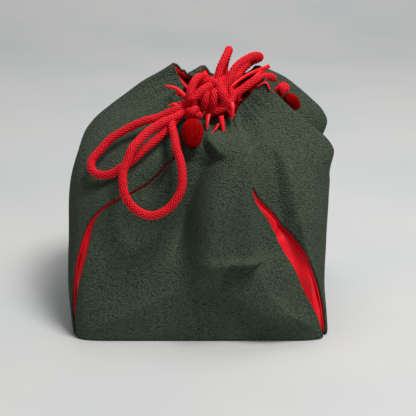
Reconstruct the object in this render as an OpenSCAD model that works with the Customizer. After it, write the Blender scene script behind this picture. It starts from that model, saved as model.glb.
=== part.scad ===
// Drawstring gift sack of crepe cloth, tied shut with a bow of braided cord.
// Millimetres. The origin is the middle of the base, +Z is up, the front faces -Y and +X is to
// the right. Four cloth petals rise from the edges of a square base, and gussets close the slits
// between them.

/* [Base] */
// Side of the square base
base_side = 133; // [125:1:140]
// Thickness of the stiffener board in the base
board_thick = 2; // [1:0.5:3]

/* [Sack] */
// Half width of the belly, its widest place
belly_half = 70; // [68:0.5:74]
// Height of the gathered hem above the base
hem_height = 115; // [105:1:125]
// Radius of the gathered neck between its folds
neck_radius = 17; // [15:0.5:20]
// Sideways lean of the neck to the right
neck_x = 9; // [0:1:12]
// Lean of the neck to the back
neck_y = 3; // [0:1:6]
// Rise of the mouth towards the back, in mm for each mm
mouth_slope = 0.4; // [0:0.05:0.5]

/* [Cloth] */
// Thickness of the crepe petals
crepe = 1.2; // [0.8:0.1:1.6]
// Thickness of the satin lining and gussets
satin = 0.5; // [0.3:0.1:0.8]

/* [Cord] */
// Diameter of the braided cord
cord_d = 4.2; // [3.5:0.1:4.4]
// Width of the ribbon loops sewn to the hem
ribbon_w = 3; // [2:0.5:4]
// Length of a tuft
tuft_len = 12; // [8:1:14]

/* [Hidden] */

crepe_green = [0.20, 0.26, 0.22];
satin_red = [0.85, 0.06, 0.10];
cord_red = [0.80, 0.05, 0.10];
tuft_red = [0.60, 0.02, 0.06];
board_grey = [0.62, 0.60, 0.56];

ply_gap = 0.2;
half = base_side / 2;
lining_in = crepe + 0.5;
gusset_in = lining_in + satin + 0.8;
base_in = gusset_in + satin + 0.3;
base_top = crepe + ply_gap + board_thick + ply_gap + satin;

// Keys of the sack's section, from the base up to the hem: half width, half depth, height,
// and the power of the rounded square (2 is an ellipse)
side_keys = [half, half + 1, belly_half - 1.5, belly_half, belly_half - 1.5, 61, 43, 28.5, neck_radius];
deep_keys = [half, half + 0.5, half, 61, 53, 43, 32, 23, neck_radius];
rise_keys = [0, 21, 42, 62, 80, 95, 106, 112, 115] * hem_height / 115;
square_keys = [13, 7, 4.5, 3.2, 2.6, 2.3, 2.1, 2, 2];
// Sideways place of the section's middle, as a share of the neck's lean
shift_keys = [0, -0.2, -0.22, -0.15, 0.15, 0.56, 0.76, 0.9, 1];

// Folds that run up to the hem. Each row is: angle at the hem, angle where it starts, height
// fraction where it starts, its depth at the hem and low down, its half width in degrees at the
// hem and low down, and how far its peak stands above the hem
folds = [
    [-70, -74, 0.26, 14, 7, 13, 12, 0],
    [-110, -124, 0.30, 12, 5, 14, 18, 0],
    [-22, -16, 0.45, 17, 5, 12, 14, 2],
    [22, 14, 0.45, 14, 6, 12, 14, 3],
    [66, 66, 0.35, 9, 4, 12, 14, 2],
    [106, 114, 0.35, 9, 4, 12, 14, 2],
    [162, 172, 0.45, 15, 3, 12, 14, 5],
    [207, 205, 0.40, 17, 0, 12, 14, 0],
    [0, 4, 0.42, -2, -27, 12, 11, 0]
];
// Angles of the petals' front edges, and half the width of the rear slits in degrees, at evenly
// spaced height fractions
front_left_edge = [-134.5, -134, -131, -130.5, -122.5, -117.5, -118, -119.5, -121.5];
front_right_edge = [-45.5, -49, -55.5, -61, -67, -68.5, -65, -62, -60];
right_front_edge = [-44.5, -44.5, -49.5, -54, -65.5, -67.5, -64, -61, -59];
left_front_edge = [224.5, 222, 224, 226.5, 236, 241.5, 241, 239.5, 237.5];
rear_slit = [0.5, 2, 3, 2, 0.5, 0.5, 0.5, 0.5, 0.5];

// Lower stretches of the hem: angle of the middle, and how far it hangs
hem_drops = [[-90, 6], [86, 8]];
drop_spread = 35;
lean_start = 0.35;   // height fraction where the neck begins to lean

// Gathered neck: middle of the mouth, and the ring that the drawcords run on
ring_radius = 10;
ring_height = hem_height - 4;
ring_gap = cord_d / 2 + 0.3;
ribbon_thick = 0.6;
ribbon_clear = 0.75;
ribbon_gap = 1.4;    // the seam allowance inside the lining
ribbon_seam = 0.95;  // height fraction where a ribbon is sewn inside its fold

// Bow knot, lying across the front of the mouth
knot_pos = [2, -17, 115];
knot_half = 13;
knot_r = 7.5;

// Routes of the cords, one row for each ring of the tube
left_upper_route = [
    [-12, -25, 111], [-17, -26, 109], [-22, -27, 107], [-27, -28, 106], [-33, -29, 104],
    [-39, -30, 101], [-46, -32, 97], [-51, -35, 92], [-55, -38, 88], [-55, -42, 84],
    [-51, -45, 82], [-45, -47, 83], [-40, -47, 86], [-34, -46, 90], [-28, -43, 95],
    [-22, -38, 99], [-17, -33, 103]
];
left_lower_route = [
    [-13, -30, 108], [-18, -34, 107], [-23, -38, 105], [-27, -42, 103], [-31, -47, 100],
    [-34, -51, 97], [-36, -54, 92], [-38, -57, 87], [-38, -60, 82], [-37, -62, 77],
    [-34, -63, 72], [-30, -64, 69], [-25, -64, 67], [-20, -64, 68], [-15, -63, 71],
    [-11, -62, 76], [-9, -60, 81], [-9, -57, 87], [-10, -53, 92], [-12, -48, 97],
    [-13, -42, 101]
];
right_front_route = [
    [9, -14, 125], [10, -12, 129], [12, -9, 133], [14, -4, 136], [15, 1, 137],
    [15, 6, 135], [14, 9, 131], [13, 10, 126], [13, 9, 121]
];
right_back_route = [
    [15, -14, 124], [17, -11, 128], [20, -8, 131], [24, -4, 133], [28, 0, 134], [31, 5, 133],
    [32, 10, 131], [30, 14, 129], [27, 16, 127]
];
left_tail_route = [
    [5, -8, 122], [2, -12, 125], [-1, -17, 126], [-3, -22, 125], [-5, -26, 121], [-5, -28, 116]
];
right_tail_route = [
    [17, -14, 116], [21, -12, 118], [26, -9, 121], [31, -5, 123], [36, -1, 123], [40, 2, 121]
];
left_knot_pos = [-4.5, -31, 110.2];
left_tuft_pos = [-4, -35, 106.6];
left_tuft_lean = [-45, 0, 0];
right_knot_pos = [43.5, 3, 115];
right_tuft_pos = [46.6, 3, 111.6];
right_tuft_lean = [0, -42, 0];

bow_face = [0, -0.8, 0.6];
across = [1, 0, 0];
front_back = [0, 1, 0];
upward = [0, 0, 1];

function smooth(t) = t <= 0 ? 0 : t >= 1 ? 1 : t * t * (3 - 2 * t);
function mix(a, b, t) = a + (b - a) * t;
function unit(p) = p / norm(p);
// Difference of two angles, from -180 to 180
function turn(a, b) = ((a - b + 540) % 360) - 180;

// Smooth curve through evenly spaced keys, for t from 0 to 1
function keyed(keys, t) =
    let (n = len(keys) - 1, x = max(0, min(1, t)) * n, i = min(floor(x), n - 1), f = x - i,
         b = keys[i], c = keys[i + 1],
         a = i == 0 ? 2 * b - c : keys[i - 1],
         d = i == n - 1 ? 2 * c - b : keys[i + 2])
    0.5 * (2 * b + (c - a) * f + (2 * a - 5 * b + 4 * c - d) * f * f
           + (3 * b - a - 3 * c + d) * f * f * f);
function keyed_slope(keys, t) = keyed(keys, min(1, t + 0.001)) - keyed(keys, max(0, t - 0.001));

// One fold at an angle and height fraction: [how far it stands out, how far it lifts]
function fold_at(fold, angle, v, normal_up) =
    let (u = max(0, (v - fold[2]) / (1 - fold[2])),
         off_axis = turn(angle, mix(fold[1], fold[0], u)) / mix(fold[6], fold[5], u),
         near = exp(-pow(abs(off_axis), 1.6)),
         depth = smooth(u / 0.25) * mix(fold[4], fold[3], pow(u, 1.6)))
    near * [depth, 0.3 * depth * normal_up + fold[7] * pow(u, 3)];
function add(rows) = [for (row = rows) 1] * rows;

// Point of the sack's outer face at an angle and height fraction, moved inward by depth
function sack_point(angle, v, depth = 0) =
    let (c = cos(angle), s = sin(angle),
         outward = keyed_slope(side_keys, v) * c * c + keyed_slope(deep_keys, v) * s * s,
         up = keyed_slope(rise_keys, v),
         normal = unit([up, -outward]),
         power = keyed(square_keys, v),
         radius = 1 / pow(pow(abs(c) / keyed(side_keys, v), power)
                          + pow(abs(s) / keyed(deep_keys, v), power), 1 / power),
         fold = add([for (f = folds) fold_at(f, angle, v, normal[1])]),
         r = radius + fold[0] * max(normal[0], 0.55) - depth * normal[0],
         lean = smooth((v - lean_start) / (1 - lean_start)),
         x = neck_x * keyed(shift_keys, v) + r * c,
         y = neck_y * lean + r * s,
         drop = smooth((v - 0.7) / 0.3) * add([
             for (d = hem_drops) [d[1] * exp(-pow(turn(angle, d[0]) / drop_spread, 2))]
         ])[0])
    [x, y, keyed(rise_keys, v) - depth * normal[1] + fold[1]
           + mouth_slope * lean * max(-30, min(30, y)) - drop];

// Closed skin between two depths, from grids of angles by height fractions
module skin(angles, heights, outer, inner) {
    rows = len(heights);
    cols = len(angles[0]);
    points = [
        for (depth = [outer, inner], j = [0 : rows - 1], i = [0 : cols - 1])
            sack_point(angles[j][i], heights[j], depth)
    ];
    function at(k, j, i) = (k * rows + j) * cols + i;
    faces = [
        for (j = [0 : rows - 2], i = [0 : cols - 2]) each [
            [at(0, j, i), at(0, j + 1, i), at(0, j + 1, i + 1)],
            [at(0, j, i), at(0, j + 1, i + 1), at(0, j, i + 1)],
            [at(1, j, i), at(1, j + 1, i + 1), at(1, j + 1, i)],
            [at(1, j, i), at(1, j, i + 1), at(1, j + 1, i + 1)]
        ],
        for (i = [0 : cols - 2]) each [
            [at(0, 0, i), at(0, 0, i + 1), at(1, 0, i + 1), at(1, 0, i)],
            [at(0, rows - 1, i + 1), at(0, rows - 1, i), at(1, rows - 1, i), at(1, rows - 1, i + 1)]
        ],
        for (j = [0 : rows - 2]) each [
            [at(0, j + 1, 0), at(0, j, 0), at(1, j, 0), at(1, j + 1, 0)],
            [at(0, j, cols - 1), at(0, j + 1, cols - 1), at(1, j + 1, cols - 1), at(1, j, cols - 1)]
        ]
    ];
    polyhedron(points, faces);
}

petal_cols = 24;
petal_rows = 18;

// Angles of a petal's two edges at a height fraction, for the petal in the middle of axis
function petal_edges(axis, v) =
    axis == -90 ? [keyed(front_left_edge, v), keyed(front_right_edge, v)]
    : axis == 0 ? [keyed(right_front_edge, v), 45 - keyed(rear_slit, v)]
    : axis == 90 ? [45 + keyed(rear_slit, v), 135 - keyed(rear_slit, v)]
    : [135 + keyed(rear_slit, v), keyed(left_front_edge, v)];

module petal_skin(axis, outer, inner, bottom, top) {
    heights = [for (j = [0 : petal_rows]) mix(bottom, top, j / petal_rows)];
    angles = [
        for (v = heights) let (edges = petal_edges(axis, v))
            [for (i = [0 : petal_cols]) mix(edges[0], edges[1], i / petal_cols)]
    ];
    skin(angles, heights, outer, inner);
}

module petal(axis) color(crepe_green) petal_skin(axis, 0, crepe, 0, 1);

lining_bottom = 0.012;
lining_top = 0.975;
module lining(axis) color(satin_red)
    petal_skin(axis, lining_in, lining_in + satin, lining_bottom, lining_top);

// Gusset behind the slit between two petals, from edge angles at evenly spaced heights
gusset_cols = 4;
gusset_rows = 16;
gusset_bottom = 0.045;
gusset_top = 0.9;
gusset_tuck = 6;     // degrees that it runs behind each petal
module gusset(first_edge, last_edge) color(satin_red) {
    heights = [for (j = [0 : gusset_rows]) mix(gusset_bottom, gusset_top, j / gusset_rows)];
    angles = [
        for (v = heights)
            let (first = keyed(first_edge, v) - gusset_tuck, last = keyed(last_edge, v) + gusset_tuck)
            [for (i = [0 : gusset_cols]) mix(first, last, i / gusset_cols)]
    ];
    skin(angles, heights, gusset_in, gusset_in + satin);
}

// Gusset at a rear corner, where the slit is even about the corner's angle
module rear_gusset(corner_angle) gusset(
    [for (half_width = rear_slit) corner_angle - half_width],
    [for (half_width = rear_slit) corner_angle + half_width]
);

// Square sheet with rounded corners, inset from the base's outline
module base_sheet(inset, bottom, thick) {
    side = base_side - 2 * inset;
    corner_r = 12;
    translate([0, 0, bottom]) linear_extrude(thick) union() {
        square([side, side - 2 * corner_r], center = true);
        square([side - 2 * corner_r, side], center = true);
        for (sx = [-1, 1], sy = [-1, 1])
            translate([sx, sy] * (side / 2 - corner_r)) circle(corner_r, $fn = 32);
    }
}

module base_panel() color(crepe_green) base_sheet(lining_in, 0, crepe);
module base_board() color(board_grey) base_sheet(base_in, crepe + ply_gap, board_thick);
module base_lining() color(satin_red) base_sheet(base_in, base_top - satin, satin);

// Tube swept along a route, with one ring at each point
module cord(route, face, sides = 8) {
    last = len(route) - 1;
    points = [
        for (j = [0 : last])
            let (along = unit(route[min(j + 1, last)] - route[max(j - 1, 0)]),
                 side = unit(cross(along, face)),
                 out = cross(side, along))
            for (i = [0 : sides - 1])
                route[j] + cord_d / 2 * (cos(360 * i / sides) * side + sin(360 * i / sides) * out)
    ];
    faces = [
        [for (i = [sides - 1 : -1 : 0]) i],
        for (j = [0 : last - 1], i = [0 : sides - 1])
            let (k = (i + 1) % sides, below = j * sides, above = below + sides) each [
                [below + i, above + k, above + i],
                [below + i, below + k, above + k]
            ],
        [for (i = [0 : sides - 1]) last * sides + i]
    ];
    color(cord_red) polyhedron(points, faces);
}

// Height of the drawcord ring's plane at a y position
function ring_z(y) = ring_height + mouth_slope * (y - neck_y);
function ring_route(first, last, count, lift) = [
    for (i = [0 : count])
        let (angle = mix(first, last, i / count),
             y = neck_y + ring_radius * sin(angle))
        [neck_x + ring_radius * cos(angle), y, ring_z(y) + lift]
];

// Ribbon loop at an angle: a band round both drawcords, with its doubled ends sewn in a fold
module ribbon_loop(angle) {
    y = neck_y + ring_radius * sin(angle);
    hole_r = cord_d / 2 + ribbon_clear;
    band_r = hole_r + ribbon_thick;
    wall = sack_point(angle, ribbon_seam, gusset_in + ribbon_gap);
    reach = norm([wall[0] - neck_x, wall[1] - neck_y]) - ring_radius;
    climb = wall[2] - ring_z(y);
    translate([neck_x + ring_radius * cos(angle), y, ring_z(y)])
        rotate([0, 0, angle]) rotate([90, 0, 0]) translate([0, 0, -ribbon_w / 2])
            linear_extrude(ribbon_w) {
                difference() {
                    loop_outline(band_r);
                    loop_outline(hole_r);
                }
                polygon([[band_r - 0.1, -ribbon_thick], [reach, climb - ribbon_thick],
                         [reach, climb + ribbon_thick], [band_r - 0.1, ribbon_thick]]);
            }
}

// Upright outline with round ends, centred on the two drawcords
module loop_outline(r) {
    square([2 * r, 2 * ring_gap], center = true);
    for (s = [-1, 1]) translate([0, s * ring_gap]) circle(r, $fn = 24);
}

// The ribbon loops of one petal, one at each fold that it holds
module ribbon_loops(rows) color(satin_red) for (row = rows) ribbon_loop(folds[row][0]);

// Round body with pointed shoulders, lying along its own Z axis
module spindle(reach, radius, shoulder) rotate_extrude($fn = 40)
    polygon([[0, -reach], [radius * shoulder, -reach * 0.85], [radius, -reach * 0.4],
             [radius, reach * 0.4], [radius * shoulder, reach * 0.85], [0, reach]]);

module bow_knot() color(cord_red)
    translate(knot_pos) rotate([0, 90, 0]) spindle(knot_half, knot_r, 0.75);

module end_knot(pos, lean, size) color(cord_red)
    translate(pos) rotate(lean) spindle(4.2 * size, 4 * size, 0.7);

module tuft(pos, lean, size) color(tuft_red)
    translate(pos) rotate(lean) rotate_extrude($fn = 32)
        polygon([for (p = [[0, 0], [3.2, 0.07], [4.4, 0.5], [3.4, 0.82], [0, 1]])
                    [p[0], -p[1] * tuft_len] * size]);

base_panel();
base_board();
base_lining();
petal(-90);  // front_petal
petal(0);  // right_petal
petal(90);  // back_petal
petal(180);  // left_petal
lining(-90);  // front_lining
lining(0);  // right_lining
lining(90);  // back_lining
lining(180);  // left_lining
gusset(front_right_edge, right_front_edge);  // front_right_gusset
rear_gusset(45);  // back_right_gusset
rear_gusset(135);  // back_left_gusset
gusset(left_front_edge, [for (angle = front_left_edge) angle + 360]);  // front_left_gusset
ribbon_loops([0, 1]);  // front_ribbon_loops
ribbon_loops([2, 3]);  // right_ribbon_loops
ribbon_loops([4, 5]);  // back_ribbon_loops
ribbon_loops([6, 7]);  // left_ribbon_loops
cord(ring_route(-75, 225, 12, -ring_gap), upward);  // lower_drawcord
cord(ring_route(-45, 255, 12, ring_gap), upward);  // upper_drawcord
bow_knot();
cord(left_upper_route, bow_face);  // left_upper_loop
cord(left_lower_route, bow_face);  // left_lower_loop
cord(right_front_route, across);  // right_front_loop
cord(right_back_route, across);  // right_back_loop
cord(left_tail_route, across);  // left_tail
end_knot(left_knot_pos, left_tuft_lean, 1.1);  // left_end_knot
tuft(left_tuft_pos, left_tuft_lean, 1.2);  // left_tuft
cord(right_tail_route, front_back);  // right_tail
end_knot(right_knot_pos, right_tuft_lean, 1);  // right_end_knot
tuft(right_tuft_pos, right_tuft_lean, 0.85);  // right_tuft
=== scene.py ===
"""Drawstring gift sack of crepe cloth, tied shut with a bow of braided cord.

Metres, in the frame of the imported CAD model: the origin is the middle of the base, +Z is up, the
front faces -Y and +X is to the right.
"""

import math

import bpy
import numpy as np
from mathutils import Euler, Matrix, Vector


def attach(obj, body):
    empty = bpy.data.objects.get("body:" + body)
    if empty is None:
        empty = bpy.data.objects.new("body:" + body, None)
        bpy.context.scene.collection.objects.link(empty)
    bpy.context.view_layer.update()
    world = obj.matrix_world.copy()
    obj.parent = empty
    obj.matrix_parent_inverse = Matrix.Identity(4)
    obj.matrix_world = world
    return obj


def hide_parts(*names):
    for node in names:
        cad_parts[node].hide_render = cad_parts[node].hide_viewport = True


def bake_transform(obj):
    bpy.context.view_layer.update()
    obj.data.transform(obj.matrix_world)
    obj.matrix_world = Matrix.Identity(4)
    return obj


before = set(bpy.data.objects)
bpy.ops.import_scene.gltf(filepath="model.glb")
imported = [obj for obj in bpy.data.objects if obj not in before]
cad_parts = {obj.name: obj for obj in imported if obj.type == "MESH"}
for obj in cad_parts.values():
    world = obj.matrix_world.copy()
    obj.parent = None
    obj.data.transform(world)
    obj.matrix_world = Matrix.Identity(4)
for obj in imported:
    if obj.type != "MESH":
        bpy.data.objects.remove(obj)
bpy.context.view_layer.update()

# ---------------------------------------------------------------- camera and light

TARGET = Vector((0, 0, 0.062))
ELEVATION = math.radians(18)
DISTANCE = 0.56


def aimed(data, place, target=TARGET):
    """A new object at place that looks at target."""
    item = bpy.data.objects.new(data.name, data)
    item.location = place
    item.rotation_mode = "QUATERNION"
    item.rotation_quaternion = (target - Vector(place)).to_track_quat("-Z", "Y")
    bpy.context.scene.collection.objects.link(item)
    return item


camera_data = bpy.data.cameras.new("camera")
camera_data.sensor_width = 36
camera_data.lens = 87.8
camera_data.shift_x = 0.018
camera_data.shift_y = -0.0555
back = Vector((0, -math.cos(ELEVATION), math.sin(ELEVATION)))
bpy.context.scene.camera = aimed(camera_data, TARGET + back * DISTANCE)
bpy.context.scene.view_settings.view_transform = "Standard"


def softbox(name, place, size, power, colour=(1, 1, 1), target=TARGET):
    """A square light of a size in metres and a power in watts, aimed at target."""
    light = bpy.data.lights.new(name, "AREA")
    light.energy = power
    light.size = size
    light.color = colour
    aimed(light, place, Vector(target))


softbox("key_light", (0.32, -0.30, 1.0), 0.35, 9.5, (1, 0.99, 0.97))
softbox("front_light", (0.3, -0.9, 0.5), 0.6, 0.8)
softbox("backdrop_light", (0, 0.35, 1.2), 0.8, 6.0, target=(0, 1.2, 0.25))

world = bpy.data.worlds.new("studio")
world.use_nodes = True
world.node_tree.nodes["Background"].inputs["Color"].default_value = (0.97, 0.985, 1, 1)
world.node_tree.nodes["Background"].inputs["Strength"].default_value = 0.12
bpy.context.scene.world = world

# ---------------------------------------------------------------- materials


class Nodes:
    """Short calls for building one material's nodes."""

    def __init__(self, name):
        self.material = bpy.data.materials.new(name)
        self.material.use_nodes = True
        self.tree = self.material.node_tree
        self.shader = self.tree.nodes["Principled BSDF"]
        self.position = self.add("ShaderNodeTexCoord").outputs["Object"]

    def add(self, kind, **inputs):
        """A node whose inputs are numbers, or the outputs of other nodes."""
        node = self.tree.nodes.new(kind)
        for key, value in inputs.items():
            socket = node.inputs[key.replace("_", " ")]
            if isinstance(value, bpy.types.NodeSocket):
                self.tree.links.new(value, socket)
            else:
                socket.default_value = value
        return node

    def stretched(self, scale):
        node = self.add("ShaderNodeMapping", Vector=self.position)
        node.inputs["Scale"].default_value = scale
        return node.outputs["Vector"]

    def noise(self, scale, detail=3.0, vector=None, roughness=0.55):
        node = self.add(
            "ShaderNodeTexNoise", Vector=vector or self.position, Scale=scale, Detail=detail
        )
        node.inputs["Roughness"].default_value = roughness
        return node.outputs["Fac"]

    def cells(self, scale, vector=None, feature="SMOOTH_F1"):
        node = self.add("ShaderNodeTexVoronoi", Vector=vector or self.position, Scale=scale)
        node.feature = feature
        return node.outputs["Distance"]

    def math(self, operation, a, b):
        node = self.tree.nodes.new("ShaderNodeMath")
        node.operation = operation
        for socket, value in zip(node.inputs, (a, b)):
            if isinstance(value, bpy.types.NodeSocket):
                self.tree.links.new(value, socket)
            else:
                socket.default_value = value
        return node.outputs[0]

    def ramp(self, factor, *stops):
        node = self.add("ShaderNodeValToRGB", Fac=factor)
        elements = node.color_ramp.elements
        while len(elements) < len(stops):
            elements.new(0.5)
        for element, (place, colour) in zip(elements, stops):
            element.position = place
            element.color = (*colour, 1)
        return node.outputs["Color"]

    def bump(self, height, distance, strength=1.0, under=None):
        node = self.add("ShaderNodeBump", Height=height, Distance=distance, Strength=strength)
        if under:
            self.tree.links.new(under, node.inputs["Normal"])
        return node.outputs["Normal"]

    def finish(self, colour, normal, roughness, **numbers):
        self.tree.links.new(colour, self.shader.inputs["Base Color"])
        self.tree.links.new(normal, self.shader.inputs["Normal"])
        if isinstance(roughness, bpy.types.NodeSocket):
            self.tree.links.new(roughness, self.shader.inputs["Roughness"])
        else:
            self.shader.inputs["Roughness"].default_value = roughness
        for key, value in numbers.items():
            self.shader.inputs[key.replace("_", " ")].default_value = value
        return self.material


def crepe_material():
    """Wool-like crepe: close pebbles, a little longer across the cloth than up it."""
    n = Nodes("crepe")
    warp = n.add("ShaderNodeTexNoise", Vector=n.position, Scale=420.0, Detail=1.0)
    shift = n.add("ShaderNodeVectorMath")
    shift.operation = "MULTIPLY_ADD"
    n.tree.links.new(warp.outputs["Color"], shift.inputs[0])
    shift.inputs[1].default_value = (0.0012, 0.0012, 0.0012)
    n.tree.links.new(n.stretched((0.8, 0.8, 1.15)), shift.inputs[2])
    pebbles = n.cells(1500.0, shift.outputs["Vector"])
    fibres = n.noise(2600.0, 2.0)
    patches = n.noise(55.0, 3.0)
    height = n.math("MULTIPLY_ADD", fibres, 0.35)
    n.tree.links.new(n.math("MULTIPLY", pebbles, -1.0), height.node.inputs[2])
    # The colour is darker towards the pebbles' edges, where the surface dips: painted shade in the
    # hollows between pebbles. The patches add random tone.
    depth = n.math("ADD", n.math("MULTIPLY", pebbles, 0.9), n.math("MULTIPLY", patches, 0.15))
    colour = n.ramp(
        depth,
        (0.12, (0.108, 0.142, 0.096)),
        (0.45, (0.060, 0.081, 0.055)),
        (0.85, (0.021, 0.030, 0.020)),
    )
    normal = n.bump(height, 0.0012, 1.0)
    return n.finish(
        colour, normal, 0.95, Sheen_Weight=0.02, Specular_IOR_Level=0.10
    )


def satin_material(name, tint, gloss=0.36):
    """Satin: a smooth face with fine threads and soft waves."""
    n = Nodes(name)
    threads = n.noise(1.0, 2.0, n.stretched((2600.0, 2600.0, 180.0)))
    waves = n.noise(120.0, 2.0)
    # The colour is darker in the troughs of the soft waves that also shape the bump: painted shade.
    dark = tuple(c * 0.82 for c in tint)
    colour = n.ramp(waves, (0.3, dark), (0.7, tint))
    normal = n.bump(threads, 0.00008, 0.5, n.bump(waves, 0.0012, 0.35))
    return n.finish(
        colour, normal, gloss, Specular_IOR_Level=0.22, Anisotropic=0.4
    )


def cord_material():
    """Braided cord: a painted highlight on the strands' raised tops, and painted shade that darkens the
    gaps where the mesh's braid is deep.
    """
    n = Nodes("braided_cord")
    braid_height = n.add("ShaderNodeAttribute")
    braid_height.attribute_name = "braid_height"
    threads = n.noise(3400.0, 2.0)
    shade = n.math("MULTIPLY", threads, 0.3)
    shade = n.math("ADD", shade, n.math("MULTIPLY", braid_height.outputs["Fac"], 0.85))
    colour = n.ramp(
        shade,
        (0.35, (0.07, 0.0004, 0.0015)),
        (0.60, (0.55, 0.002, 0.009)),
        (0.82, (0.95, 0.007, 0.022)),
        (1.00, (1.00, 0.022, 0.045)),
    )
    return n.finish(
        colour, n.bump(threads, 0.0002, 0.7), 0.5, Specular_IOR_Level=0.16
    )


def tuft_material():
    n = Nodes("tuft_yarn")
    threads = n.noise(1.0, 2.0, n.stretched((2400.0, 2400.0, 500.0)))
    colour = n.ramp(threads, (0.35, (0.22, 0.0002, 0.0008)), (0.7, (0.50, 0.0008, 0.002)))
    return n.finish(colour, n.bump(threads, 0.0003, 0.8), 0.8, Specular_IOR_Level=0.05)


def board_material():
    n = Nodes("grey_board")
    pulp = n.noise(900.0, 4.0)
    colour = n.ramp(pulp, (0.35, (0.28, 0.26, 0.22)), (0.7, (0.42, 0.40, 0.35)))
    return n.finish(colour, n.bump(pulp, 0.0001, 0.5), 0.85)


def floor_material():
    n = Nodes("floor_cloth")
    weave = n.noise(900.0, 2.0)
    folds = n.noise(7.0, 2.0)
    # The colour is darker and a little cooler in the troughs of the broad folds that also shape the
    # bump: painted shade.
    colour = n.ramp(folds, (0.3, (0.60, 0.62, 0.63)), (0.7, (0.66, 0.66, 0.65)))
    normal = n.bump(weave, 0.0001, 0.3, n.bump(folds, 0.012, 0.25))
    return n.finish(colour, normal, 0.6, Sheen_Weight=0.1)


CREPE = crepe_material()
LINING = satin_material("satin_lining", (0.85, 0.006, 0.014))
GUSSET = satin_material("satin_gusset", (0.95, 0.006, 0.018), 0.42)
RIBBON = satin_material("satin_ribbon", (0.98, 0.012, 0.022), 0.4)
CORD = cord_material()
TUFT = tuft_material()
BOARD = board_material()
FLOOR = floor_material()

# ---------------------------------------------------------------- mesh helpers


def grid_faces(rows, cols, closed=False, start=0):
    """Quads of a grid of points, numbered row by row."""
    last = cols if closed else cols - 1
    row, col = np.meshgrid(np.arange(rows - 1), np.arange(last), indexing="ij")
    after = (col + 1) % cols
    quads = [row * cols + col, row * cols + after, (row + 1) * cols + after, (row + 1) * cols + col]
    return np.stack([q.ravel() for q in quads], -1) + start


def new_piece(name, points, faces, material, body="root", replaces=()):
    """A smooth-shaded mesh that rides on a body."""
    mesh = bpy.data.meshes.new(name)
    mesh.from_pydata(np.asarray(points).reshape(-1, 3).tolist(), [], [list(f) for f in faces])
    mesh.polygons.foreach_set("use_smooth", [True] * len(mesh.polygons))
    mesh.materials.append(material)
    piece = bpy.data.objects.new(name, mesh)
    bpy.context.scene.collection.objects.link(piece)
    if body:
        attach(piece, body)
    if replaces:
        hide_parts(*replaces)
    return piece


def thicken(piece, thickness, side=-1):
    """Give a sheet its thickness, on its inner side, and leave plain mesh."""
    modifier = piece.modifiers.new("thickness", "SOLIDIFY")
    modifier.thickness = thickness
    modifier.offset = side
    graph = bpy.context.evaluated_depsgraph_get()
    solid = bpy.data.meshes.new_from_object(piece.evaluated_get(graph))
    piece.modifiers.clear()
    old = piece.data
    piece.data = solid
    bpy.data.meshes.remove(old)
    return piece


def smooth(t):
    """Smooth step from 0 to 1."""
    t = np.clip(t, 0, 1)
    return t * t * (3 - 2 * t)


def spline(points, t):
    """Smooth curve through evenly spaced keys, which are numbers or points, for t from 0 to 1."""
    keys = np.asarray(points, float)
    last = len(keys) - 1
    x = np.clip(np.asarray(t, float), 0, 1) * last
    i = np.minimum(x.astype(int), last - 1)
    f = x - i
    b, c = keys[i], keys[i + 1]
    a = keys[np.maximum(i - 1, 0)]
    d = keys[np.minimum(i + 2, last)]
    if keys.ndim > 1:
        f, i = f[..., None], i[..., None]
    a = np.where(i == 0, 2 * b - c, a)
    d = np.where(i == last - 1, 2 * c - b, d)
    return 0.5 * (
        2 * b + (c - a) * f + (2 * a - 5 * b + 4 * c - d) * f**2 + (3 * b - a - 3 * c + d) * f**3
    )


def even_path(points, spacing):
    """Points a spacing apart along the smooth curve through the given ones."""
    samples = 40 * len(points)
    dense = spline(points, np.linspace(0, 1, samples))
    along = np.concatenate([[0], np.cumsum(np.linalg.norm(np.diff(dense, axis=0), axis=1))])
    count = max(2, round(along[-1] / spacing) + 1)
    stops = np.linspace(0, along[-1], count)
    return np.stack([np.interp(stops, along, dense[:, k]) for k in range(3)], -1)


def frames_along(path):
    """Tangents and two steady cross directions along a path."""
    tangents = np.gradient(path, axis=0)
    tangents /= np.linalg.norm(tangents, axis=1)[:, None]
    side = np.cross(tangents[0], (0.3, 0.5, 0.81))
    sides = []
    for tangent in tangents:
        side = side - tangent * (side @ tangent)
        side = side / np.linalg.norm(side)
        sides.append(side)
    sides = np.array(sides)
    return tangents, sides, np.cross(tangents, sides)


# ---------------------------------------------------------------- braided cords

CORD_D = 0.0042
STRANDS = 8  # strands that run each way round the cord
LAY = 0.0042  # length in which a strand crosses two others
SIDES = 48  # points round the mesh
RING = 0.00028  # distance between the mesh's rings
GAP_RADIUS = 0.66  # radius in the braid's gaps, as a share of the cord's
STRAND_RISE = 0.40  # how far a strand stands out from there


def braid(turn, along, strands=STRANDS, lay=LAY):
    """Height of a braid's strands, 0 to 1, at a turn round the cord and a distance along it."""
    a = turn * strands + along / lay * 2
    b = turn * strands - along / lay * 2
    fa, fb = a % 1, b % 1
    over = (np.floor(a) + np.floor(b)) % 2 == 0

    def across_strand(f):
        return np.sqrt(np.clip(np.sin(np.pi * f), 0, 1))

    def along_strand(f):
        return 0.5 + 0.5 * np.sin(np.pi * f)

    return np.where(
        over, across_strand(fa) * along_strand(fb), across_strand(fb) * along_strand(fa)
    )


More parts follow.
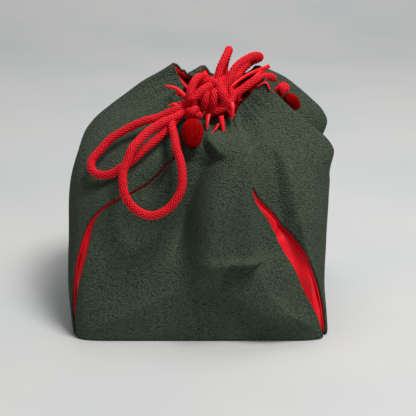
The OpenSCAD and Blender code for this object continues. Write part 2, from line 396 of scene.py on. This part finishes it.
def cord_mesh(paths, diameter=CORD_D, sides=SIDES, ring=RING, lay=LAY):
    """Points and faces of braided tubes along paths, and the braid's height at each point."""
    points, faces, heights = [], [], []
    start = 0
    for given in paths:
        path = even_path(given, ring)
        tangents, side, up = frames_along(path)
        turn = np.arange(sides) / sides
        along = np.arange(len(path)) * ring
        height = braid(turn[None, :], along[:, None], lay=lay)
        radius = diameter / 2 * (GAP_RADIUS + STRAND_RISE * height)
        heights.append(height.ravel())
        ends = np.minimum(along, along[::-1]) / (diameter * 0.35)
        radius = radius * np.sqrt(np.clip(1 - (1 - np.clip(ends, 0.03, 1)) ** 2, 0, 1))[:, None]
        angle = 2 * np.pi * turn
        round_it = (
            np.cos(angle)[None, :, None] * side[:, None]
            + np.sin(angle)[None, :, None] * up[:, None]
        )
        rings = path[:, None] + radius[..., None] * round_it
        points.append(rings.reshape(-1, 3))
        faces += grid_faces(len(path), sides, True, start).tolist()
        faces.append(list(range(start + sides - 1, start - 1, -1)))
        last = start + (len(path) - 1) * sides
        faces.append(list(range(last, last + sides)))
        start += len(path) * sides
    return np.concatenate(points), faces, np.concatenate(heights)


def new_braid(name, paths, body, node, **sizes):
    """A piece of braided cord, with the braid's height kept for its material."""
    points, faces, heights = cord_mesh(paths, **sizes)
    piece = new_piece(name, points, faces, CORD, body, [node])
    piece.data.attributes.new("braid_height", "FLOAT", "POINT").data.foreach_set("value", heights)
    return piece


def new_cord(name, route, node, body="root", blend=None):
    """A free cord on its route, riding on body. blend would give the points where the cord starts to
    follow its body and where it has come to, but its points are not used: a cord given blend rides on
    no body, and its mesh is baked in place."""
    piece = new_braid(name, [route], None if blend else body, node)
    if blend:
        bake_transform(piece)
    return piece


# Routes of the CAD model's cords, with the stretches that run into the knot added at their ends.
# Many of their points were rounded from a scratch program's projection of the photo's cords.
LEFT_UPPER_ROUTE = [
    (-0.006, -0.021, 0.113), (-0.012, -0.025, 0.111), (-0.017, -0.026, 0.109), (-0.022, -0.027, 0.107),
    (-0.027, -0.028, 0.106), (-0.033, -0.029, 0.104), (-0.039, -0.030, 0.101), (-0.046, -0.032, 0.097),
    (-0.051, -0.035, 0.092), (-0.055, -0.038, 0.088), (-0.055, -0.042, 0.084), (-0.051, -0.045, 0.082),
    (-0.045, -0.047, 0.083), (-0.040, -0.047, 0.086), (-0.034, -0.046, 0.090), (-0.028, -0.043, 0.095),
    (-0.022, -0.038, 0.099), (-0.017, -0.033, 0.103), (-0.012, -0.028, 0.107), (-0.007, -0.022, 0.110),
]
LEFT_LOWER_ROUTE = [
    (-0.007, -0.024, 0.110), (-0.013, -0.030, 0.108), (-0.018, -0.034, 0.107), (-0.023, -0.038, 0.105),
    (-0.027, -0.042, 0.103), (-0.031, -0.047, 0.100), (-0.034, -0.051, 0.097), (-0.036, -0.054, 0.092),
    (-0.038, -0.057, 0.087), (-0.038, -0.060, 0.082), (-0.037, -0.062, 0.077), (-0.034, -0.063, 0.072),
    (-0.030, -0.064, 0.069), (-0.025, -0.064, 0.067), (-0.020, -0.064, 0.068), (-0.015, -0.063, 0.071),
    (-0.011, -0.062, 0.076), (-0.009, -0.060, 0.081), (-0.009, -0.057, 0.087), (-0.010, -0.053, 0.092),
    (-0.012, -0.048, 0.097), (-0.013, -0.042, 0.101), (-0.0145, -0.034, 0.105), (-0.013, -0.026, 0.108),
    (-0.008, -0.020, 0.111),
]
RIGHT_FRONT_ROUTE = [
    (0.007, -0.016, 0.119), (0.009, -0.014, 0.125), (0.010, -0.012, 0.129), (0.012, -0.009, 0.133),
    (0.014, -0.004, 0.136), (0.015, 0.001, 0.137), (0.015, 0.006, 0.135), (0.014, 0.009, 0.131),
    (0.013, 0.010, 0.126), (0.013, 0.009, 0.121), (0.012, 0.003, 0.119), (0.010, -0.004, 0.118),
    (0.008, -0.011, 0.118),
]
RIGHT_BACK_ROUTE = [
    (0.011, -0.017, 0.119), (0.015, -0.014, 0.124), (0.017, -0.011, 0.128), (0.020, -0.008, 0.131),
    (0.024, -0.004, 0.133), (0.028, 0.000, 0.134), (0.031, 0.005, 0.133), (0.032, 0.010, 0.131),
    (0.030, 0.014, 0.129), (0.027, 0.016, 0.127), (0.022, 0.012, 0.123), (0.019, 0.005, 0.120),
    (0.016, -0.003, 0.118), (0.012, -0.011, 0.117),
]
LEFT_TAIL_ROUTE = [
    (0.007, -0.009, 0.118), (0.005, -0.008, 0.122), (0.002, -0.012, 0.125), (-0.001, -0.017, 0.126),
    (-0.003, -0.022, 0.125), (-0.005, -0.026, 0.121), (-0.005, -0.028, 0.116),
]
RIGHT_TAIL_ROUTE = [
    (0.012, -0.015, 0.114), (0.017, -0.014, 0.116), (0.021, -0.012, 0.118), (0.026, -0.009, 0.121),
    (0.031, -0.005, 0.123), (0.036, -0.001, 0.123), (0.040, 0.002, 0.121),
]

new_cord(
    "left_upper_cord", LEFT_UPPER_ROUTE, "left_upper_loop", "left_bow",
    ((-0.010, -0.022, 0.114), (-0.020, -0.028, 0.110)),
)
new_cord(
    "left_lower_cord", LEFT_LOWER_ROUTE, "left_lower_loop", "left_bow",
    ((-0.010, -0.022, 0.114), (-0.020, -0.028, 0.110)),
)
new_cord(
    "right_front_cord", RIGHT_FRONT_ROUTE, "right_front_loop", "right_bow",
    ((0.010, -0.016, 0.119), (0.013, -0.012, 0.128)),
)
new_cord(
    "right_back_cord", RIGHT_BACK_ROUTE, "right_back_loop", "right_bow",
    ((0.010, -0.016, 0.119), (0.013, -0.012, 0.128)),
)

# ---------------------------------------------------------------- knot and drawcords

NECK = np.array((0.009, 0.003, 0.0))
RING_R = 0.010
RING_Z = 0.111
RING_GAP = 0.0024
MOUTH_SLOPE = 0.4


def ring_point(angle, lift, radius=RING_R):
    """Point on the sloping ring that the drawcords run on, raised by lift."""
    angle = np.radians(angle)
    y = NECK[1] + radius * np.sin(angle)
    height = RING_Z + MOUTH_SLOPE * (y - NECK[1]) + lift
    return np.stack([NECK[0] + radius * np.cos(angle), y, height * np.ones_like(angle)], -1)


def wrap(middle, radius, reach, first, last, count=12):
    """Helix round an axis that lies across the front, from one angle to another in degrees."""
    angle = np.radians(np.linspace(first, last, count))
    x = middle[0] + np.linspace(-reach, reach, count)
    return np.stack([x, middle[1] - radius * np.cos(angle), middle[2] + radius * np.sin(angle)], -1)


knot_strands = [
    wrap((0.0045, -0.017, 0.115), 0.0054, 0.0030, -70, 430, 20),
    wrap((-0.0055, -0.0185, 0.1145), 0.0046, 0.0026, -150, 260, 16),
    [(-0.004, -0.014, 0.120), (0.000, -0.014, 0.1225), (0.005, -0.0155, 0.1235),
     (0.010, -0.018, 0.1215), (0.0125, -0.021, 0.117), (0.011, -0.021, 0.112),
     (0.007, -0.018, 0.110)],
    [(0.003, -0.019, 0.1085), (0.009, -0.0215, 0.1095), (0.0145, -0.020, 0.1125),
     (0.0165, -0.0165, 0.1165), (0.0135, -0.013, 0.120)],
    [(-0.011, -0.018, 0.111), (-0.009, -0.023, 0.113), (-0.004, -0.0245, 0.1165),
     (0.001, -0.022, 0.1205), (0.006, -0.017, 0.122)],
    [(0.016, -0.018, 0.111), (0.013, -0.0215, 0.114), (0.0105, -0.0215, 0.119),
     (0.010, -0.017, 0.123), (0.011, -0.011, 0.124)],
]
new_braid("knot_strands", knot_strands, "root", "bow_knot")

for name, node, first, last, lift in (
    ("lower_drawcord_braid", "lower_drawcord", -75, 225, -RING_GAP),
    ("upper_drawcord_braid", "upper_drawcord", -45, 255, RING_GAP),
):
    new_cord(name, ring_point(np.linspace(first, last, 24), lift), node)

# ---------------------------------------------------------------- tassels

TUFT_LENGTH = 0.012
TUFT_RADII = [0.0022, 0.0038, 0.0044, 0.0040, 0.0029, 0.0008]  # at even steps down the tuft
TUFT_YARNS = 620
YARN_STEPS = 9
END_KNOT_LOOP = 0.0010  # scale of the trefoil
END_CORD_D = 0.0038


def knot_ball(name, node, middle, lean, body, size):
    """Tight round knot in a cord's end: a trefoil of cord. lean is in degrees."""
    t = np.linspace(0, 2 * np.pi, 60)
    shape = np.stack(
        [np.sin(t) + 2 * np.sin(2 * t), np.cos(t) - 2 * np.cos(2 * t), -1.25 * np.sin(3 * t)], -1
    )
    turn = np.array(Euler([math.radians(a) for a in lean]).to_matrix())
    path = shape * END_KNOT_LOOP * size @ turn.T + middle
    return new_braid(name, [path], body, node, diameter=END_CORD_D, sides=36, lay=0.0036)


def tuft(name, node, top, lean, body, size, seed):
    """Cut yarn ends that swell from a knot and come to a point, over a fuller core."""
    rng = np.random.default_rng(seed)
    turn = np.array(Euler([math.radians(a) for a in lean]).to_matrix())
    points, faces = [], []
    down = np.linspace(0, 1, YARN_STEPS)
    start = 0
    for _ in range(TUFT_YARNS):
        around = rng.uniform(0, 2 * np.pi)
        deep = math.sqrt(rng.uniform(0.55, 1.0))
        reach = TUFT_LENGTH * rng.uniform(0.90, 1.0) * down
        sway = rng.uniform(-0.25, 0.25) * down
        out = spline(TUFT_RADII, down * rng.uniform(0.90, 1.0)) * deep
        centre = np.stack(
            [out * np.cos(around + sway), out * np.sin(around + sway), -reach], -1
        )
        thick = 0.00026 * (1 - 0.6 * down**2)
        corner = np.linspace(0, 2 * np.pi, 4)[:3] + around
        rings = centre[:, None] + thick[:, None, None] * np.stack(
            [np.cos(corner), np.sin(corner), np.zeros(3)], -1
        )
        points.append(rings.reshape(-1, 3))
        faces += grid_faces(YARN_STEPS, 3, True, start).tolist()
        start += 3 * YARN_STEPS
    rows, cols = 16, 32
    around = np.linspace(0, 2 * np.pi, cols, endpoint=False)[None, :]
    down = np.linspace(0, 0.97, rows)[:, None]
    out = spline(TUFT_RADII, down) * (0.86 + 0.05 * np.sin(11 * around) + 0 * down)
    low = -TUFT_LENGTH * down + 0 * out
    core = np.stack([out * np.cos(around), out * np.sin(around), low], -1)
    points.append(core.reshape(-1, 3))
    faces += grid_faces(rows, cols, True, start).tolist()
    faces.append(list(range(start + cols * (rows - 1), start + cols * rows)))
    faces.append(list(range(start + cols - 1, start - 1, -1)))
    placed = np.concatenate(points) * size @ turn.T + np.array(top)
    return new_piece(name, placed, faces, TUFT, body, [node])


left_lean, right_lean = (-45, 0, 0), (0, -42, 0)
left_middle, left_top = (-0.0035, -0.031, 0.1102), (-0.004, -0.0345, 0.1071)
right_middle, right_top = (0.0435, 0.003, 0.115), (0.0462, 0.003, 0.112)
left_pieces = [
    knot_ball("left_end_braid", "left_end_knot", left_middle, left_lean, "left_tassel", 1.04),
    tuft("left_yarn_tuft", "left_tuft", left_top, left_lean, "left_tassel", 1.25, 1),
]
right_pieces = [
    knot_ball("right_end_braid", "right_end_knot", right_middle, right_lean, "right_tassel", 1.0),
    tuft("right_yarn_tuft", "right_tuft", right_top, right_lean, "right_tassel", 0.85, 2),
]
new_cord(
    "left_tail_cord", LEFT_TAIL_ROUTE, "left_tail"
)
new_cord(
    "right_tail_cord", RIGHT_TAIL_ROUTE, "right_tail",
)

# ---------------------------------------------------------------- the sack's surface

# Keys of the section from the base up to the hem: half width, half depth, height, and the power
# of the rounded square
SIDE_KEYS = [0.0665, 0.0675, 0.0685, 0.070, 0.0685, 0.061, 0.043, 0.0285, 0.017]
DEEP_KEYS = [0.0665, 0.067, 0.0665, 0.061, 0.053, 0.043, 0.032, 0.023, 0.017]
RISE_KEYS = [0, 0.021, 0.042, 0.062, 0.080, 0.095, 0.106, 0.112, 0.115]
SQUARE_KEYS = [13, 7, 4.5, 3.2, 2.6, 2.3, 2.1, 2, 2]
# Sideways place of the section's middle, as a share of the neck's lean
SHIFT_KEYS = [0, -0.2, -0.22, -0.15, 0.15, 0.56, 0.76, 0.9, 1]
# Lower stretches of the hem: angle of the middle, and how far it hangs
HEM_DROPS = [(-90, 0.006), (86, 0.008)]
DROP_SPREAD = 35
HEEL_RADIUS = 0.0015  # rounding of the cloth's turn under the base

# Folds that run up to the hem. Each row is: angle at the hem and low down, height fraction where
# it starts, depth at the hem and low down, half width at the hem and low down in degrees, how far
# its peak stands above the hem, and the side that drops away sharply, with the share that is left
FOLDS = [
    (-70, -74, 0.26, 0.014, 0.007, 13, 12, 0, 1, 0.30),
    (-110, -124, 0.30, 0.012, 0.005, 14, 18, 0, 0, 1),
    (-22, -16, 0.45, 0.018, 0.006, 12, 14, 0.006, 1, 0.55),
    (22, 14, 0.45, 0.014, 0.013, 12, 16, 0.003, 0, 1),
    (66, 66, 0.35, 0.009, 0.004, 12, 14, 0.002, 0, 1),
    (106, 114, 0.35, 0.009, 0.004, 12, 14, 0.002, 0, 1),
    (162, 172, 0.45, 0.015, 0.003, 12, 14, 0.005, 0, 1),
    (207, 205, 0.40, 0.017, 0, 12, 14, 0, -1, 0.55),
    (0, 4, 0.42, -0.002, -0.027, 12, 11, 0, 0, 1),
]

# Angles of the petals' front edges and half widths of the rear slits, at even height fractions.
# Not all were chosen by hand: the lower five of the right slit's edges and the lower four of the
# left slit's were interpolated and rounded from a scratch program's fit to the slits in the photo,
# some then moved by eye. A projection of points picked in the photo guided the rest.
FRONT_LEFT_EDGE = [-136, -135, -133.5, -133.5, -123, -117.5, -118, -119.5, -121.5]
FRONT_RIGHT_EDGE = [-44.8, -47.8, -51.2, -55.3, -66.5, -68.5, -65, -62, -60]
RIGHT_FRONT_EDGE = [-42.5, -41.6, -46.2, -50.3, -63, -67.5, -64, -61, -59]
LEFT_FRONT_EDGE = [223, 221, 221.5, 224.5, 236, 241.5, 241, 239.5, 237.5]
REAR_SLIT = [0.5, 2, 3, 2, 0.5, 0.5, 0.5, 0.5, 0.5]

# Lines on the cloth: height fractions, and the angle of the line at each
RIDGE_RIGHT = (
    [0.05, 0.10, 0.16, 0.26, 0.41, 0.55, 0.65, 0.79, 1],
    [-50, -57, -63, -68, -69, -69, -67, -62, -60],
)
RIDGE_LEFT = ([0.20, 0.36, 0.49, 0.60, 0.69, 0.80], [-92, -90, -87, -85, -95, -99])
# The front wall's crease: angles, and the height fraction of the crease at each
WALL_CREASE = ([-131, -111, -85, -69, -54], [0.03, 0.12, 0.21, 0.13, 0.04])

# How far the creases stand out or go in
RIDGE_STAND = 0.0080
RIDGE_FOOT_DROP = 0.0035
RIDGE_VALLEY = 0.0060
FACET_STAND = 0.0055
WALL_LEAN_BACK = 0.0150
PETAL_VALLEY = 0.0085


def angle_gap(a, b):
    """Difference of two angles in degrees, from -180 to 180."""
    return (a - b + 180) % 360 - 180


def on_line(v, line):
    """Angle of a line on the cloth at a height fraction."""
    return np.interp(v, *line)


def relief(theta, v, radius):
    """How far the cloth's creases stand out from its gathered shape."""
    theta = angle_gap(theta, 0)

    def beside(line_angle):
        return np.radians(angle_gap(theta, line_angle)) * radius

    right_of = beside(on_line(v, RIDGE_RIGHT))
    left_of = beside(on_line(v, RIDGE_LEFT))
    total = np.zeros(np.broadcast(theta, v).shape)

    # ridge with a soft left side, a crease down its right side, and a sharp lower end on the right
    left_soft = 0.007 - 0.0050 * smooth((v - 0.57) / 0.06)
    flank = np.exp(-np.clip(right_of, 0, None) / 0.0045)
    sharp = smooth((theta + 83) / 6)
    lower = smooth((v - 0.13 - 0.115 * sharp) / (0.16 - 0.145 * sharp))
    total += RIDGE_STAND * smooth((left_of + left_soft) / (2 * left_soft)) * flank * lower * (
        1 - smooth((v - 0.60) / 0.25))
    total -= RIDGE_FOOT_DROP * smooth(right_of / 0.012) * smooth((v - 0.2) / 0.1) * (
        1 - smooth((v - 0.6) / 0.1))

    # dark valley to the left of the ridge
    total -= RIDGE_VALLEY * np.exp(-((left_of + 0.010) / 0.007) ** 2) * smooth((v - 0.22) / 0.15) * (
        1 - smooth((v - 0.6) / 0.15))

    # facet below the ridge, with a crease down to the right
    facet = smooth((v - 0.02) / 0.08) * (1 - smooth((v - 0.25) / 0.03))
    total += FACET_STAND * facet * np.exp(-np.clip(right_of, 0, None) / 0.007) * smooth(
        (right_of + 0.030) / 0.026)

    # upright wall below the crease, and cloth that leans back above it
    above = v - np.interp(theta, *WALL_CREASE)
    lean = 1 - np.exp(-np.clip(above, 0, None) / 0.13)
    side = np.where(theta < -85, smooth((-84 - theta) / 18), 0.4 * smooth((theta + 85) / 12))
    total -= WALL_LEAN_BACK * lean * side * (1 - smooth((v - 0.34) / 0.3))
    total *= smooth((theta + 133) / 12) * smooth((-46 - theta) / 3)

    # deep valley between the left and front petals
    valley = beside(np.interp(v, [0.45, 0.6, 0.75, 0.9], [-121, -117.5, -118, -120]))
    window = smooth((v - 0.42) / 0.12) * (1 - smooth((v - 0.78) / 0.14))
    total -= PETAL_VALLEY * np.exp(-(np.abs(valley) / 0.0042) ** 1.5) * window

    # small crease and dips on the right petal
    crease = beside(np.interp(v, [0.30, 0.42], [-52, -44]))
    window = smooth((v - 0.29) / 0.03) * (1 - smooth((v - 0.42) / 0.03))
    total -= 0.0011 * np.exp(-(crease / 0.0011) ** 2) * window
    crease = beside(np.interp(v, [0.5, 0.62], [-38, -31]))
    total -= 0.0009 * np.exp(-(crease / 0.0012) ** 2) * smooth((v - 0.49) / 0.03) * (
        1 - smooth((v - 0.62) / 0.03))
    right_side = smooth((right_of - 0.0008) / 0.0012) * smooth((v - 0.46) / 0.08)
    dip = 0.0045 * (1 - smooth((right_of - 0.001) / 0.012)) * (1 - smooth((v - 0.86) / 0.12))
    total -= dip * right_side * (theta > -75) * (theta < 0)
    return total


def waves(theta, v):
    """Slack of the cloth, and fine gathers that run out from the neck."""
    t = np.radians(theta)
    slack = (
        np.sin(3.1 * t + 7.0 * v + 0.6) * np.sin(9.0 * v + 2.1 * t)
        + 0.7 * np.sin(5.3 * t - 11.0 * v + 1.9)
        + 0.5 * np.sin(9.7 * t + 5.0 * v + 4.2) * np.sin(14.0 * v)
    )
    gathers = np.sin(41 * t + 2 * np.sin(5 * t)) + 0.6 * np.sin(67 * t + 1.3)
    return (
        0.00045 * slack * smooth(v / 0.15) * (1 - 0.5 * smooth((v - 0.8) / 0.2))
        + 0.00035 * gathers * smooth((v - 0.72) / 0.25)
    )


def outer(theta, v):
    """Point of the sack's outer face at an angle in degrees and a height fraction."""
    theta, v = np.broadcast_arrays(np.asarray(theta, float), np.asarray(v, float))
    c, s = np.cos(np.radians(theta)), np.sin(np.radians(theta))
    step = 0.001
    low, high = np.maximum(v - step, 0), np.minimum(v + step, 1)
    outward = (spline(SIDE_KEYS, high) - spline(SIDE_KEYS, low)) * c**2 + (
        spline(DEEP_KEYS, high) - spline(DEEP_KEYS, low)) * s**2
    up = spline(RISE_KEYS, high) - spline(RISE_KEYS, low)
    size = np.hypot(outward, up)
    normal_out, normal_up = up / size, -outward / size
    power = spline(SQUARE_KEYS, v)
    radius = ((np.abs(c) / spline(SIDE_KEYS, v)) ** power
              + (np.abs(s) / spline(DEEP_KEYS, v)) ** power) ** (-1 / power)
    stand, lift = 0, 0
    for row in FOLDS:
        hem_angle, low_angle, start, hem_deep, low_deep = row[:5]
        hem_wide, low_wide, rise, sharp, left = row[5:]
        u = np.clip((v - start) / (1 - start), 0, 1)
        axis = low_angle + (hem_angle - low_angle) * u
        off_axis = angle_gap(theta, axis) / (low_wide + (hem_wide - low_wide) * u)
        depth = smooth(u / 0.25) * (low_deep + (hem_deep - low_deep) * u**1.6)
        near = np.exp(-np.abs(off_axis) ** 1.6)
        if sharp:
            border = on_line(v, RIDGE_RIGHT) if hem_angle == -70 else axis
            past = np.radians(angle_gap(theta, border)) * radius * sharp
            near = near * (1 - (1 - left) * smooth(past / 0.002) * smooth((v - 0.3) / 0.15)
                           * (1 - smooth((v - 0.93) / 0.07)))
        stand = stand + depth * near
        lift = lift + near * (0.3 * depth * normal_up + rise * u**3)
    creases = relief(theta, v, radius) + waves(theta, v)
    lean = smooth((v - 0.35) / 0.65)
    reach = radius + stand * np.maximum(normal_out, 0.55) + creases * normal_out
    height = spline(RISE_KEYS, v)
    turned = np.clip(1 - height / HEEL_RADIUS, 0, 1)
    reach = reach - HEEL_RADIUS * (1 - np.sqrt(1 - turned**2))
    y = NECK[1] * lean + reach * s
    drop = sum(deep * np.exp(-((angle_gap(theta, at) / DROP_SPREAD) ** 2)) for at, deep in HEM_DROPS)
    drop = drop * smooth((v - 0.7) / 0.3)
    z = height + lift + creases * normal_up + MOUTH_SLOPE * lean * np.clip(y, -0.03, 0.03) - drop
    return np.stack([NECK[0] * spline(SHIFT_KEYS, v) + reach * c, y, z], -1)


def cloth(theta, v, depth=0.0):
    """Point at a depth inside the sack's outer face."""
    theta, v = np.broadcast_arrays(np.asarray(theta, float), np.asarray(v, float))
    turn, step = 0.4, 0.003
    around = outer(theta + turn, v) - outer(theta - turn, v)
    upward = outer(theta, np.minimum(v + step, 1)) - outer(theta, np.maximum(v - step, 0))
    normal = np.cross(around, upward)
    normal /= np.maximum(np.linalg.norm(normal, axis=-1), 1e-12)[..., None]
    return outer(theta, v) - np.asarray(depth)[..., None] * normal


# ---------------------------------------------------------------- petals, linings and gussets

CREPE_THICK = 0.0011
SATIN_THICK = 0.0004
LINING_DEPTH = 0.00135
GUSSET_TUCK = 5  # degrees that a gusset runs behind each petal


def edges(axis, v):
    """Angles of the two edges of the petal in the middle of axis."""
    slit = spline(REAR_SLIT, v)
    return {
        -90: (spline(FRONT_LEFT_EDGE, v), spline(FRONT_RIGHT_EDGE, v)),
        0: (spline(RIGHT_FRONT_EDGE, v), 45 - slit),
        90: (45 + slit, 135 - slit),
        180: (135 + slit, spline(LEFT_FRONT_EDGE, v)),
    }[axis]


def sheet_grid(first, last, v, cols, depth, thick, name, material, node):
    """A sheet of cloth between two edge angles, one row of points for each height fraction."""
    share = np.linspace(0, 1, cols)[None, :]
    theta = first[:, None] + (last - first)[:, None] * share
    points = cloth(theta, v[:, None] + 0 * theta, depth)
    piece = new_piece(name, points, grid_faces(len(v), cols), material, "root", [node])
    return thicken(piece, thick)


for side, axis, cols, rows, area in (
    ("front", -90, 260, 210, 0.0112),
    ("right", 0, 180, 160, 0.0164),
    ("back", 90, 130, 130, 0.0136),
    ("left", 180, 180, 160, 0.0164),
):
    v = np.linspace(0, 1, rows)
    first, last = edges(axis, v)
    petal = sheet_grid(
        first, last, v, cols, np.zeros(1), CREPE_THICK, side + "_crepe", CREPE,
        side + "_petal"
    )
    v = np.linspace(0.012, 0.988, 90)
    first, last = edges(axis, v)
    shown = 0.8 * smooth((0.58 - v) / 0.1)  # degrees of lining that show along the front slits
    if axis == 0:
        first = first - shown
    if axis == 180:
        last = last + shown
    lining = sheet_grid(
        first, last, v, 90, np.full(1, LINING_DEPTH), SATIN_THICK, side + "_satin", LINING,
        side + "_lining"
    )

for corner, first_edge, last_edge in (
    ("front_right", FRONT_RIGHT_EDGE, RIGHT_FRONT_EDGE),
    ("back_right", [45 - s for s in REAR_SLIT], [45 + s for s in REAR_SLIT]),
    ("back_left", [135 - s for s in REAR_SLIT], [135 + s for s in REAR_SLIT]),
    ("front_left", LEFT_FRONT_EDGE, [a + 360 for a in FRONT_LEFT_EDGE]),
):
    v = np.linspace(0.02, 0.80, 120)
    share = np.linspace(0, 1, 26)
    crown = np.sin(np.pi * np.clip((share - 0.25) / 0.5, 0, 1))[None, :]
    pucker = 0.0009 * np.exp(-(((v - 0.45) / 0.018) ** 2))[:, None]
    depth = 0.0030 - 0.0012 * crown - pucker * crown + 0.0003 * np.sin(v * 60)[:, None] * crown
    gusset = sheet_grid(
        spline(first_edge, v) - GUSSET_TUCK, spline(last_edge, v) + GUSSET_TUCK, v, 26, depth,
        SATIN_THICK,
        corner + "_satin_gusset", GUSSET, corner + "_gusset"
    )

# ---------------------------------------------------------------- ribbon loops

RIBBON_W = 0.003
RIBBON_PLAY = 0.0005  # air between a ribbon and the cord


def strip(path, across, widths=(RIBBON_W, RIBBON_W), thick=0.00035):
    """Points and faces of a flat ribbon along a path. across is its width direction, or one for
    each end, and widths are its widths at the two ends."""
    path = even_path(path, 0.0008)
    tangents = np.gradient(path, axis=0)
    share = np.linspace(0, 1, len(path))[:, None]
    ends = np.asarray(across, float).reshape(-1, 3)
    wide = ends[0] + (ends[-1] - ends[0]) * share
    tangents /= np.linalg.norm(tangents, axis=1)[:, None]
    wide = wide - tangents * np.sum(wide * tangents, axis=1)[:, None]
    wide /= np.linalg.norm(wide, axis=1)[:, None]
    flat = np.cross(tangents, wide)
    ring = [(-0.5, 0.5), (0.5, 0.5), (0.5, -0.5), (-0.5, -0.5)]
    width = widths[0] + (widths[1] - widths[0]) * share
    points = np.stack([path + a * width * wide + b * thick * flat for a, b in ring], 1)
    return points.reshape(-1, 3), grid_faces(len(path), 4, True).tolist()


def ribbon_loops(name, node, angles, tabs=()):
    """The ribbon loops of one petal, round both drawcords at each angle, and loose tabs."""
    points, faces = [], []
    count = 0
    for angle in angles:
        away = np.array((math.cos(math.radians(angle)), math.sin(math.radians(angle)), 0))
        across = np.array((-away[1], away[0], 0))
        cord = ring_point(float(angle), 0.0)
        wall = cloth(angle, 0.965, 0.0021)
        gap = RING_GAP + CORD_D / 2 + RIBBON_PLAY
        side = CORD_D / 2 + RIBBON_PLAY
        up = np.array((0, 0, 1))
        path = [
            wall, cord + away * (side + 0.002) + up * 0.0012,
            cord + away * side * 0.9 + up * gap * 0.75,
            cord + up * gap, cord - away * side * 0.9 + up * gap * 0.7, cord - away * side,
            cord - away * side * 0.9 - up * gap * 0.7, cord - up * gap,
            cord + away * side * 0.9 - up * gap * 0.75, cord + away * (side + 0.002) - up * 0.0004,
            wall - up * 0.0007,
        ]
        tabs = [*tabs, (path, across, (RIBBON_W, RIBBON_W))]
    for path, across, widths in tabs:
        new_points, new_faces = strip(path, across, widths)
        points.append(new_points)
        faces += [[i + count for i in face] for face in new_faces]
        count += len(new_points)
    new_piece(name, np.concatenate(points), faces, RIBBON, "root", [node])


# Trimmed ends of the ribbons, over the hem: points, width directions, and widths at the ends
front_tabs = [
    ([(0.004, -0.0235, 0.108), (0.0035, -0.027, 0.1045), (0.0035, -0.0285, 0.1015)], (1, 0, 0.3),
     (0.0028, 0.0008)),
    ([(0.009, -0.025, 0.1035), (0.007, -0.0275, 0.1005), (0.0035, -0.031, 0.0975)], (0.7, 0, 0.7),
     (0.0022, 0.0052)),
    ([(0.0105, -0.023, 0.107), (0.0115, -0.026, 0.1025), (0.0120, -0.0285, 0.0985)], (1, 0, 0.2),
     (0.0030, 0.0012)),
    ([(0.0155, -0.021, 0.1135), (0.0165, -0.0235, 0.1105), (0.0160, -0.0255, 0.1055)], (0.8, 0, 0.5),
     (0.0036, 0.0008)),
]
right_tabs = [
    ([(0.013, -0.016, 0.1185), (0.024, -0.006, 0.1245), (0.036, 0.004, 0.1275)], (0, 0.4, 0.9),
     (0.0015, 0.0018)),
    ([(0.018, -0.014, 0.116), (0.027, -0.006, 0.1225), (0.037, 0.006, 0.1275)], (0, 0.5, 0.8),
     (0.0010, 0.0022)),
    ([(0.0300, -0.0085, 0.1195), (0.0345, -0.0085, 0.1215), (0.0365, -0.0095, 0.1180)], (0.2, 0.9, 0.2),
     (0.0016, 0.0026)),
]
left_tabs = [
    ([(-0.008, -0.018, 0.116), (-0.013, -0.014, 0.1195), (-0.0185, -0.012, 0.1205)], (0, 0.5, 0.8),
     (0.0030, 0.0010)),
    ([(-0.010, -0.020, 0.1105), (-0.0135, -0.020, 0.1125), (-0.0165, -0.020, 0.1115)], (0, 0.5, 0.8),
     (0.0028, 0.0008)),
]
ribbon_loops("front_ribbons", "front_ribbon_loops", (-70, -110), front_tabs)
ribbon_loops("right_ribbons", "right_ribbon_loops", (-22, 22), right_tabs)
ribbon_loops("back_ribbons", "back_ribbon_loops", (66, 106))
ribbon_loops("left_ribbons", "left_ribbon_loops", (162, 207), left_tabs)

# ---------------------------------------------------------------- carried CAD parts and floor

for node, material in (("base_panel", CREPE), ("base_board", BOARD), ("base_lining", LINING)):
    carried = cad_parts[node]
    carried.data.materials.clear()
    carried.data.materials.append(material)

sweep = np.linspace(0, math.pi / 2, 17)
profile = [(-1.2, 0.0)] + [(0.75 + 0.5 * math.sin(a), 0.5 * (1 - math.cos(a))) for a in sweep]
profile += [(1.25, 1.6)]
across = np.linspace(-1.6, 1.6, 9)
backdrop = np.array([[(x, y, z - 0.0001) for x in across] for y, z in profile])
floor = new_piece("floor", backdrop, grid_faces(len(profile), 9), FLOOR, None)

bpy.context.view_layer.update()
